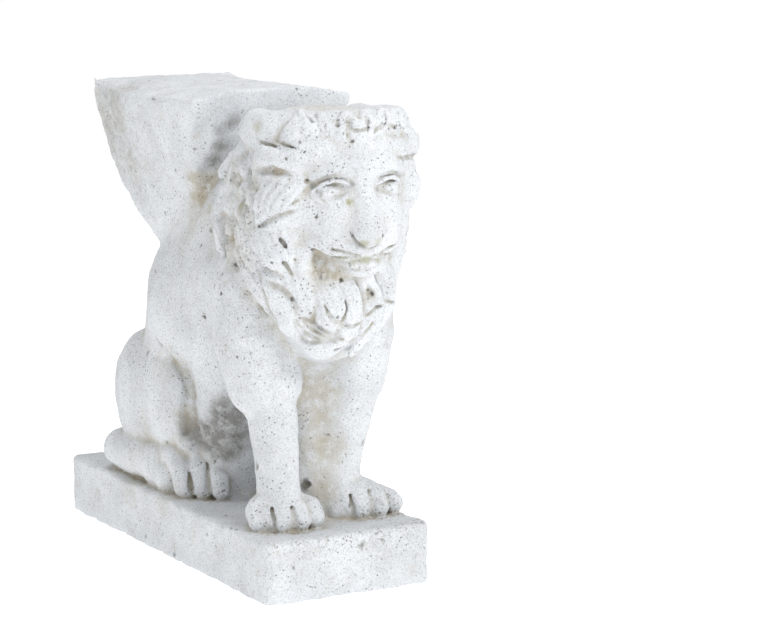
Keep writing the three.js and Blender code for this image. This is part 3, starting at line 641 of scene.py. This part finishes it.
points, quads = one_piece(*skin())
points = smoothed(points, quads, 0.5)
normal = normals_of(points, quads)
flank = (points[:, 0] < -11) & (points[:, 1] > 6) & (points[:, 2] > 52)
ruff = np.clip(1.6 - np.hypot((points[:, 1] + 34) / 12, (points[:, 2] - 60) / 18), 0, 1)
ruff *= np.abs(points[:, 0]) > 11
points += normal * (0.15 * noise(points, 3.4, 1) + (0.09 + 0.2 * ruff) * noise(points, 1.6, 2)
                    + (0.05 + 0.1 * ruff + 0.12 * flank) * noise(points, 0.8, 3))[:, None]
points[:, 2] = np.maximum(points[:, 2], -PLINTH_HEIGHT)

raw = bpy.data.meshes.new("raw_skin")
raw.from_pydata([], [], [])
raw.vertices.add(len(points))
raised = (points + np.array((0, 0, PLINTH_HEIGHT))).astype(np.float32)
raw.vertices.foreach_set("co", raised.ravel() * STEP)
raw.loops.add(quads.size)
raw.loops.foreach_set("vertex_index", quads.astype(np.int32).ravel())
raw.polygons.add(len(quads))
raw.polygons.foreach_set("loop_start", np.arange(0, quads.size, 4, dtype=np.int32))
raw.update(calc_edges=True)
raw.validate()
worked = bpy.data.objects.new("worked", raw)
bpy.context.scene.collection.objects.link(worked)
head_front = (points[:, 1] < -35) & (points[:, 2] > 33)
near_mane = (points[:, 0] < -11) & (points[:, 1] < -28) & (points[:, 2] > 44)
fine = head_front | near_mane
plain = worked.vertex_groups.new(name="plain")
plain.add(np.flatnonzero(~fine).tolist(), 1.0, "REPLACE")
kept = 2 * np.count_nonzero(fine)
PLAIN_TRIANGLES = 118000
TRIANGLES = 192000
coarse = worked.modifiers.new("coarse", "DECIMATE")
coarse.ratio = min(1.0, (PLAIN_TRIANGLES + kept) / (2 * len(quads)))
coarse.vertex_group = "plain"
coarse.use_collapse_triangulate = True
thin = worked.modifiers.new("thin", "DECIMATE")
thin.ratio = min(1.0, TRIANGLES / (PLAIN_TRIANGLES + kept))
thin.use_collapse_triangulate = True
mesh = bpy.data.meshes.new_from_object(worked.evaluated_get(bpy.context.evaluated_depsgraph_get()))
mesh.name = "statue_skin"
bpy.data.objects.remove(worked)
bpy.data.meshes.remove(raw)
statue = bpy.data.objects.new("statue", mesh)
bpy.context.scene.collection.objects.link(statue)
mesh.polygons.foreach_set("use_smooth", np.ones(len(mesh.polygons), bool))


# The marks of weather, and painted shade. Creases and sheltered hollows are coloured darker, partly as dirt
# and partly as painted shade. How deep a place lies is read from how much stone stands round it. The stains,
# soot and painted shade that belong to one place are set there one by one, some of them by pixel.


def crowding(reach):
    """Share of stone in a box of side 2 reach round each cell, from running sums along the three axes."""
    share = np.clip(0.5 - stone[::2, ::2, ::2] / (2 * CELL), 0, 1)
    n = max(1, int(round(reach / (2 * CELL))))
    for axis in range(3):
        pad = [(0, 0)] * 3
        pad[axis] = (n + 1, n)
        total = np.cumsum(np.pad(share, pad, "edge"), axis=axis, dtype=np.float64)
        high = np.take(total, range(2 * n + 1, total.shape[axis]), axis)
        low = np.take(total, range(0, total.shape[axis] - 2 * n - 1), axis)
        share = (high - low) / (2 * n + 1)
    return share.astype(np.float32)


def read(field, points):
    """A field on every second cell, read between its points in straight lines."""
    at = (points - np.array([g[0] for g in axes])) / (2 * CELL)
    at = np.clip(at, 0, np.array(field.shape) - 1.001)
    base = at.astype(int)
    t = at - base
    total = 0
    for c in CORNERS:
        total = total + np.prod(np.where(np.array(c) == 1, t, 1 - t), axis=1) * field[tuple((base + c).T)]
    return total


def mark(name, values):
    """Stores one value per vertex, for the material to read."""
    layer = mesh.attributes.new(name, "FLOAT", "POINT")
    layer.data.foreach_set("value", np.clip(values, 0, 1).astype(np.float32))


# Brown stains, and painted shade: the spots in the hollow under the mouth paint the shade of that hollow.
STAINS_AND_SHADE = (
    (-16, -34, 58, 7, 0.35), (-15.4, -39.5, 48, 3.5, 0.4), (-12, -44.5, 50, 3, 0.45),
    (-13.2, -49.2, 68.8, 2, 0.3), (0, -42, 84.4, 12, 0.5), (-6.5, -51.5, 52, 4, 0.55),
    (8, -49.5, 56, 3.6, 0.5), (-7.5, -8, 14, 6, 0.6), (-12, -1, 12, 5, 0.45), (-14.5, 3, 17, 3, 0.5),
    (0, -36, 25, 7, 0.8), (0.4, -36.6, 15, 7, 0.8), (0.6, -37, 6, 5, 0.8), (-0.5, -40, 1.5, 3.5, 0.6),
    (10, -22, 0, 9, 0.35), (-10, -26, 0, 8, 0.2), (-14, -12, 62, 5, 0.4), (-12.5, -6, 60, 6, 0.35),
    (-11.6, -9, 66.6, 4.4, 0.8), (-13.8, -3.2, 17, 3.4, 0.9), (-17.6, 16, 0.4, 7, 0.4),
    (-14.4, 3, 28, 6, 0.35), (-17, 12, 10, 6, 0.3), (-16.6, 21, 80, 7, 0.6), (-15.4, 31, 80, 6, 0.6),
    (-15, 30, 72, 6, 0.4), (-16, 18, 68, 6, 0.4), (-16.8, -40, 66, 8, 0.25), (-16.4, -36, 56, 7, 0.3),
    (-16.6, -44, 71, 5, 0.4), (-6.5, -52, 54.5, 3.4, 0.8), (-17.2, -1, 0, 5, 0.4),
    (15.5, -45, 58.5, 3.5, 0.6), (-1.2, -47, 34, 4, 0.5), (-12.4, -9.4, 67, 3.4, 0.9),
    (-11.6, -7, 63.6, 3, 0.6), (-15.7, -44.5, 80.9, 1.7, 0.8), (-14.3, -49.7, 78.7, 1.6, 0.7),
    (-15.4, -33.5, 73.1, 2, 0.6), (-15.7, -34.3, 70.5, 2, 0.6), (-17.7, -39.9, 64.3, 1.8, 0.7),
    (-15, -50.4, 72.6, 1.8, 0.6), (-16, -44, 62, 4, 0.35), (-16.4, -41, 56, 4, 0.35),
    (3.2, -53.2, 47.6, 2.2, 0.8), (15.4, -48, 63.2, 2.4, 0.9), (-3.4, -53.6, 53, 2.4, 0.7),
    (-10.2, -41, 45, 2.4, 0.5), (-16.5, -36, 68, 3.2, 0.3), (-14, -45.5, 76.6, 2.2, 0.35),
    (-12.6, -49, 74.4, 1.8, 0.35),
)
# Dark grey soot, and painted shade: the pocket between wing and mane and the trunk's side behind the foreleg
# are darkened for both; the broad spot on the wing's outer face and the two small spots low between the
# forepaws are painted shade.
SOOT_AND_SHADE = (
    (-8.2, -17.9, 79.9, 2.4, 0.7), (-10.4, -17.2, 78.4, 2.4, 0.7), (-9.4, -15, 75, 2.4, 0.8),
    (-10.4, -15, 74.9, 2, 0.5), (-10.8, -13.3, 72.2, 2.4, 0.7), (-12, -11.9, 70.4, 2.2, 0.55),
    (-10.1, -12.7, 71.4, 1.8, 0.65), (-8.5, -14, 15, 8, 1), (-10.5, -12, 11, 6, 1), (-9.5, -15, 20, 5, 0.8),
    (-11.4, -9, 13, 5, 0.8), (-2.6, -35.1, 6.8, 1.3, 1.0), (10, -17, 76, 6, 0.5), (11, -12, 69, 5, 0.5),
    (-15.8, 24, 74, 17, 0.3), (-12.6, -5, 14, 5, 0.7), (-1.6, -38.6, 3.6, 1.8, 1.0),
)
MOSS = ((1.8, -59.4, 59.2, 1.2, 0.6), (-16.8, -39.6, 65.6, 1.6, 0.7), (-13.6, -41.5, 44.4, 1.6, 0.5),
        (-16, -45.4, 81, 1.6, 0.3))
PEPPER = (
    (-15, -42, 0.6, 2.6, 0.9), (-11.5, -43.6, 0.5, 2.6, 0.9), (-8, -44.4, 0.4, 2.6, 0.9),
    (-4.5, -43.4, 0.5, 2.4, 0.7), (4, -41, 0.4, 2.4, 0.7), (8, -42, 0.6, 2.6, 0.9), (12, -42.4, 0.7, 3, 1),
    (16, -40.6, 0.6, 3.2, 1), (-16, -49.4, -0.4, 2.4, 0.6), (-10.9, -49.7, -0.6, 3, 0.8),
    (-5, -49.8, -1.2, 3, 0.8), (1, -50, -1.6, 3, 0.9), (7, -50, -1.4, 3, 0.9), (12, -49.6, -1, 3, 0.9),
    (16.5, -48, -0.3, 3, 0.8), (-13.8, -5.8, 1.2, 2.2, 0.9), (-11.4, -8.8, 1.2, 2.2, 1),
    (-9.2, -11.6, 1.6, 2.6, 1), (-13, -40.5, 4, 3, 0.4), (-7, -41, 4.6, 3, 0.4), (11, -40, 4, 4, 0.5),
    (15, -38, 3, 3, 0.7), (-5.4, -55, 57.4, 1.8, 0.8), (-2, -56, 56, 2, 0.8), (4, -56, 56, 2, 0.6),
    (-17, -42, 58, 6, 0.4), (-16.5, -38, 70, 5, 0.45), (-12, -14.4, 60, 3, 0.6),
)
# Both pixel stains are painted shade: the hollow under the mouth and the underside of the chin.
STAIN_AND_SHADE_PIXELS = ((326.3, 272.8, 2.4, 0.6), (348.7, 277.9, 1.8, 0.5))
# Painted shade round the eyes, in their corners.
SOOT_AND_SHADE_PIXELS = ((312.5, 185.9, 0.9, 0.9), (352.1, 184.1, 0.9, 0.9), (377.9, 189.3, 0.8, 0.7),
               (320.3, 193.6, 0.9, 0.5))
MOSS_PIXELS = (
    (349.5, 202.5, 0.95, 1.4), (364.2, 243.5, 1.3, 0.9), (365, 259.9, 1.5, 0.7), (340.1, 259, 1.3, 0.4),
    (352.1, 260.7, 1.3, 0.4), (377.9, 259, 1.2, 0.6), (210.1, 209.1, 1.2, 0.6),
)
PEPPER_PIXELS = (
    (323.7, 125.6, 1.4, 0.8), (349.5, 122.2, 1.4, 0.9), (329.7, 135.1, 1.2, 0.7), (303.9, 135.9, 1.6, 0.9),
    (236.8, 222.9, 3, 0.5), (226.5, 240.1, 2, 0.5),
)


def spots_at(places, points):
    """Sum over places of amount times 1 - (d / r)^2, held at zero beyond each radius."""
    total = np.zeros(len(points))
    for x, y, z, r, amount in places:
        d = ((points - np.array((x, y, z))) ** 2).sum(1) / r**2
        total += amount * np.clip(1 - d, 0, 1)
    return total


co = np.zeros(len(mesh.vertices) * 3, np.float32)
mesh.vertices.foreach_get("co", co)
co = co.reshape(-1, 3) / STEP - np.array((0, 0, PLINTH_HEIGHT))
# Painted shade and earth: how crowded by stone a place is, over a small and a large reach, later darkens its
# colour towards brown.
mark("crease", (read(crowding(0.9), co) - 0.5) * 3.4)
mark("hollow", (read(crowding(3.4), co) - 0.5) * 2.6)
for name, places, pixels in (("stain", STAINS_AND_SHADE, STAIN_AND_SHADE_PIXELS), ("moss", MOSS, MOSS_PIXELS),
                             ("soot", SOOT_AND_SHADE, SOOT_AND_SHADE_PIXELS), ("pepper", PEPPER, PEPPER_PIXELS)):
    found = tuple((*seen(px, py), r, amount) for px, py, r, amount in pixels)
    mark(name, spots_at(places + found, co))


def lines_at(chains, reach, points):
    """Nearness to the grooves: 1 - d / reach, d the least distance to any of their straight runs."""
    total = np.zeros(len(points))
    for chain in chains:
        st = np.array(chain)[:, :3]
        near = np.flatnonzero(((points > st.min(0) - reach) & (points < st.max(0) + reach)).all(1))
        for a, b in zip(st[:-1], st[1:]):
            t = np.clip((points[near] - a) @ (b - a) / ((b - a) ** 2).sum(), 0, 1)[:, None]
            d = np.linalg.norm(points[near] - a - t * (b - a), axis=1)
            total[near] = np.maximum(total[near], 1 - d / reach)
    return total


# The grooves are coloured darker along their length: earth in them and painted shade.
mark("groove", lines_at(GROOVES, 0.9, co))
# Inside each pit the colour is near black: painted shade in the hole.
PIT_DARK = 0.8
dark = np.zeros(len(co))
for spot, r in zip(spots, pit_size):
    near = ((co - spot) ** 2).sum(1) < (1.3 * r) ** 2
    dark[near] = PIT_DARK
mark("pit", dark)


# The finish of the stone.
# Pale cement with a fine grain, yellowed where rain leaves dirt, with brown earth and painted shade in the
# creases and hollows, dark grey soot and painted shade in sheltered places, pores and pits painted dark as
# the shade inside them, specks of dirt on the toes and front edge, and a little lichen.
stone_look = bpy.data.materials.new("pale_cement_stone")
stone_look.use_nodes = True
tree = stone_look.node_tree
shader = tree.nodes["Principled BSDF"]


def node(kind, **inputs):
    """A node with its settings and its inputs by name, each a value or another node's output."""
    made = tree.nodes.new(kind)
    for name, value in inputs.items():
        if name.startswith("_"):
            setattr(made, name[1:], value)
            continue
        socket = made.inputs[int(name[1:])] if name[0] == "i" and name[1:].isdigit() else made.inputs[name]
        if isinstance(value, bpy.types.NodeSocket):
            tree.links.new(value, socket)
        else:
            socket.default_value = value
    return made


def maths(kind, a, b=0.0):
    """One step of arithmetic on two values, held to 0-1."""
    return node("ShaderNodeMath", _operation=kind, _use_clamp=True, i0=a, i1=b).outputs[0]


def attribute(name):
    """A vertex value stored on the mesh."""
    return node("ShaderNodeAttribute", _attribute_name=name).outputs["Fac"]


def mixed(a, b, share):
    """Colour a turned towards colour b by a share."""
    made = node("ShaderNodeMix", _data_type="RGBA", i0=share)
    for socket, value in ((made.inputs[6], a), (made.inputs[7], b)):
        if isinstance(value, bpy.types.NodeSocket):
            tree.links.new(value, socket)
        else:
            socket.default_value = (*value, 1)
    return made.outputs[2]


def ramp(value, low, high):
    """0 at low, 1 at high, smooth between."""
    limits = {"From Min": low, "From Max": high}
    return node("ShaderNodeMapRange", _interpolation_type="SMOOTHSTEP", Value=value, **limits).outputs[0]


place = node("ShaderNodeTexCoord").outputs["Object"]
cloud = node("ShaderNodeTexNoise", Vector=place, Scale=24.0, Detail=4.0).outputs[0]
mottle = node("ShaderNodeTexNoise", Vector=place, Scale=110.0, Detail=5.0, Roughness=0.65).outputs[0]
grit = node("ShaderNodeTexNoise", Vector=place, Scale=620.0, Detail=3.0, Roughness=0.7).outputs[0]
pores = node("ShaderNodeTexVoronoi", Vector=place, Scale=230.0).outputs["Distance"]
where = node("ShaderNodeTexNoise", Vector=place, Scale=60.0, Detail=2.0).outputs[0]

PALE, CLOUDED, YELLOWED = (0.76, 0.79, 0.82), (0.66, 0.685, 0.715), (0.62, 0.61, 0.58)
DARK_GRAIN, LIGHT_GRAIN = (0.40, 0.40, 0.39), (0.86, 0.87, 0.88)
EARTH_AND_SHADE, DEEP_EARTH_AND_SHADE, SPECK = (0.47, 0.43, 0.35), (0.33, 0.31, 0.25), (0.22, 0.20, 0.15)
SOOT_AND_SHADE_GREY, LICHEN, PORE_SHADE = (0.25, 0.245, 0.235), (0.40, 0.40, 0.26), (0.12, 0.11, 0.09)
base = mixed(PALE, CLOUDED, ramp(cloud, 0.35, 0.7))
base = mixed(base, YELLOWED, maths("MULTIPLY", ramp(mottle, 0.5, 0.75), 0.4))
base = mixed(base, DARK_GRAIN, maths("MULTIPLY", ramp(grit, 0.5, 0.68), 0.7))
base = mixed(base, LIGHT_GRAIN, maths("MULTIPLY", ramp(grit, 0.48, 0.3), 0.5))
# Earth and painted shade: the crowded creases and hollows and the stains darken towards brown.
earth_and_shade = maths("ADD", maths("MULTIPLY", attribute("crease"), 0.9), maths("MULTIPLY", attribute("hollow"), 0.35))
earth_and_shade = maths("ADD", earth_and_shade, maths("MULTIPLY", attribute("stain"), 0.8))
earth_and_shade = maths("MULTIPLY", earth_and_shade, maths("ADD", ramp(mottle, 0.3, 0.62), 0.25))
base = mixed(base, EARTH_AND_SHADE, earth_and_shade)
# The grooves' earth and painted shade.
groove_earth_and_shade = maths("MULTIPLY", ramp(attribute("groove"), 0.25, 1.0), ramp(mottle, 0.25, 0.6))
base = mixed(base, DEEP_EARTH_AND_SHADE, groove_earth_and_shade)
# Soot and painted shade, in dark grey.
sooted = maths("ADD", maths("MULTIPLY", ramp(mottle, 0.34, 0.62), 0.5), 0.55)
base = mixed(base, SOOT_AND_SHADE_GREY, maths("MULTIPLY", attribute("soot"), sooted))
base = mixed(base, LICHEN, maths("MULTIPLY", attribute("moss"), ramp(mottle, 0.3, 0.5)))
specks = node("ShaderNodeTexNoise", Vector=place, Scale=300.0, Detail=3.0, Roughness=0.7).outputs[0]
base = mixed(base, SPECK, maths("MULTIPLY", attribute("pepper"), ramp(specks, 0.53, 0.64)))
# The finish's pores and the pits are painted dark: the shade inside them.
pore = maths("MULTIPLY", maths("SUBTRACT", 1.0, ramp(pores, 0.10, 0.2)), ramp(where, 0.46, 0.58))
holes = maths("MAXIMUM", maths("MULTIPLY", pore, 0.7), attribute("pit"))
base = mixed(base, PORE_SHADE, holes)
tree.links.new(base, shader.inputs["Base Color"])
shader.inputs["Roughness"].default_value = 0.88
height = maths("ADD", maths("MULTIPLY", mottle, 0.5), maths("MULTIPLY", grit, 0.3))
height = maths("SUBTRACT", height, maths("MULTIPLY", pore, 0.4))
bump = node("ShaderNodeBump", Strength=1.0, Distance=0.0030, Height=height)
tree.links.new(bump.outputs[0], shader.inputs["Normal"])
mesh.materials.clear()
mesh.materials.append(stone_look)

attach(statue, "root")
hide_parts("winged_lion_statue")


# The floor, the light and the camera.
# A plain white floor under broad soft light from the front, the near side and above. The camera stands where
# the photograph was taken: in front, to the lion's right, and a little higher than its head.
floor_mesh = bpy.data.meshes.new("floor")
floor_mesh.from_pydata([(-60, -60, 0), (60, -60, 0), (60, 60, 0), (-60, 60, 0)], [], [(0, 1, 2, 3)])
floor = bpy.data.objects.new("floor", floor_mesh)
bpy.context.scene.collection.objects.link(floor)
floor_look = bpy.data.materials.new("white_floor")
floor_look.use_nodes = True
floor_shader = floor_look.node_tree.nodes["Principled BSDF"]
floor_shader.inputs["Base Color"].default_value = (0.97, 0.97, 0.97, 1)
floor_shader.inputs["Roughness"].default_value = 0.9
floor_shader.inputs["Emission Color"].default_value = (1, 1, 1, 1)
floor_shader.inputs["Emission Strength"].default_value = 0.5
floor_mesh.materials.append(floor_look)

sky = bpy.data.worlds.new("soft_sky")
sky.use_nodes = True
sky.node_tree.nodes["Background"].inputs["Color"].default_value = (1, 1, 1, 1)
sky.node_tree.nodes["Background"].inputs["Strength"].default_value = 0.52
bpy.context.scene.world = sky


def soft_light(name, place, target, side, watts):
    """A square area light of the given side, turned towards a point."""
    data = bpy.data.lights.new(name, "AREA")
    data.size = side
    data.energy = watts
    lamp = bpy.data.objects.new(name, data)
    bpy.context.scene.collection.objects.link(lamp)
    back = np.array(place, float) - np.array(target, float)
    back /= np.linalg.norm(back)
    across = np.cross((0, 0, 1), back)
    across /= np.linalg.norm(across)
    turned = np.column_stack([across, np.cross(back, across), back, place])
    lamp.matrix_world = Matrix(np.vstack([turned, (0, 0, 0, 1)]))


soft_light("key", (0.5, -1.7, 1.5), (0, -0.1, 0.25), 0.9, 20)
soft_light("fill", (-2.2, 0.3, 0.9), (0, 0, 0.2), 1.2, 5)
soft_light("top", (-0.1, 0.2, 2.2), (0, 0.1, 0.3), 1.2, 13)

bpy.context.scene.view_settings.view_transform = "Standard"
camera_data = bpy.data.cameras.new("camera")
camera_data.lens = LENS
camera_data.sensor_width = SENSOR_WIDTH
camera_data.clip_start = 0.05
camera = bpy.data.objects.new("camera", camera_data)
bpy.context.scene.collection.objects.link(camera)
camera.matrix_world = Matrix([(*row, at) for row, at in zip(CAMERA_AXES, CAMERA_PLACE)] + [(0, 0, 0, 1)])
bpy.context.scene.camera = camera
